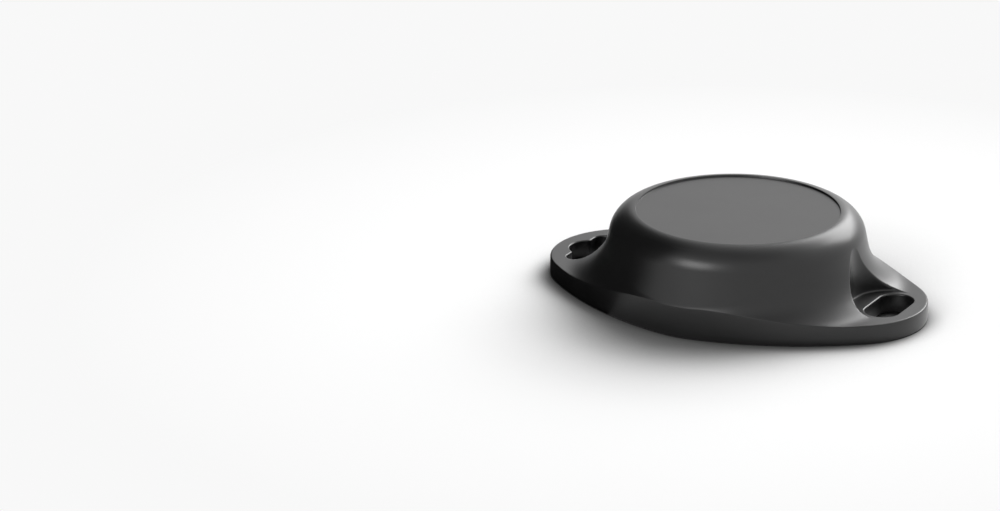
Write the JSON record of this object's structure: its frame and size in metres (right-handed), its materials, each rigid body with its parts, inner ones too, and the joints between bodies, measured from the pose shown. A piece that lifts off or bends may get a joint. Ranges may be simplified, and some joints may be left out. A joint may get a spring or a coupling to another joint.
{
  "type": "wireless beacon",
  "caption": "Low round beacon housing on a pointed-oval screw flange, with a twist-off back cover over a coin cell and a round radio board.",
  "frame": {"origin": "centre of the underside, on the mounting face", "axes": "+X along the flange towards the wide slot (the keyhole is on the -X side), +Z out of the mounting face towards the dome's top"},
  "size_m": [0.0718, 0.0484, 0.0161],
  "materials": {
    "case": "black satin moulded plastic with a very fine even texture",
    "cover": "black satin moulded plastic",
    "seal_rubber": "smooth black rubber",
    "foam": "fine dark grey foam",
    "board": "green solder mask",
    "screw_steel": "zinc-plated steel",
    "gold_pads": "gold-plated copper",
    "holder_plastic": "black moulded plastic",
    "contact_metal": "tin-plated sheet metal",
    "cell_steel": "satin nickel-plated steel",
    "cell_filling": "dark pressed filling, never seen",
    "white_nylon": "off-white moulded plastic",
    "module_laminate": "dark blue solder mask",
    "chip_resin": "black moulded resin",
    "white_ceramic": "white glazed ceramic",
    "capacitor_resin": "amber moulded resin",
    "tan_ceramic": "tan ceramic with tinned ends",
    "resistor_film": "black glazed film with tinned ends",
    "clear_resin": "clear cast resin"
  },
  "bodies": {
    "shell": {"housing": "case", "circuit_board": "board", "board_screws": "screw_steel", "test_pads": "gold_pads", "cell_holder": "holder_plastic", "positive_contact": "contact_metal", "negative_contact": "contact_metal", "cell_cup": "cell_steel", "cell_core": "cell_filling", "cell_ring": "white_nylon", "cell_cap": "cell_steel", "module_board": "module_laminate", "radio_chip": "chip_resin", "module_crystal": "contact_metal", "shield_can": "contact_metal", "chip_antenna": "white_ceramic", "clock_crystal": "contact_metal", "motion_sensor": "chip_resin", "bulk_capacitor": "capacitor_resin", "transistor": "chip_resin", "ceramic_capacitors": "tan_ceramic", "chip_resistors": "resistor_film", "status_light": "white_nylon", "light_lens": "clear_resin", "button_base": "holder_plastic", "button_frame": "contact_metal", "snap_dome": "contact_metal"},
    "cover": {"back_cover": "cover", "cover_seal": "seal_rubber", "foam_pad": "foam"},
    "button": {"button_plunger": "white_nylon"}
  },
  "joints": [
    {"name": "cover_turn", "type": "hinge", "parent": "shell", "child": "cover", "pos_m": [0, 0, 0], "axis": [0, 0, -1], "range_deg": [0, 50]},
    {"name": "button_press", "type": "slide", "parent": "shell", "child": "button", "axis": [0, 0, 1], "range_m": [0, 0.00025], "stiffness_N_per_m": 6400}
  ]
}
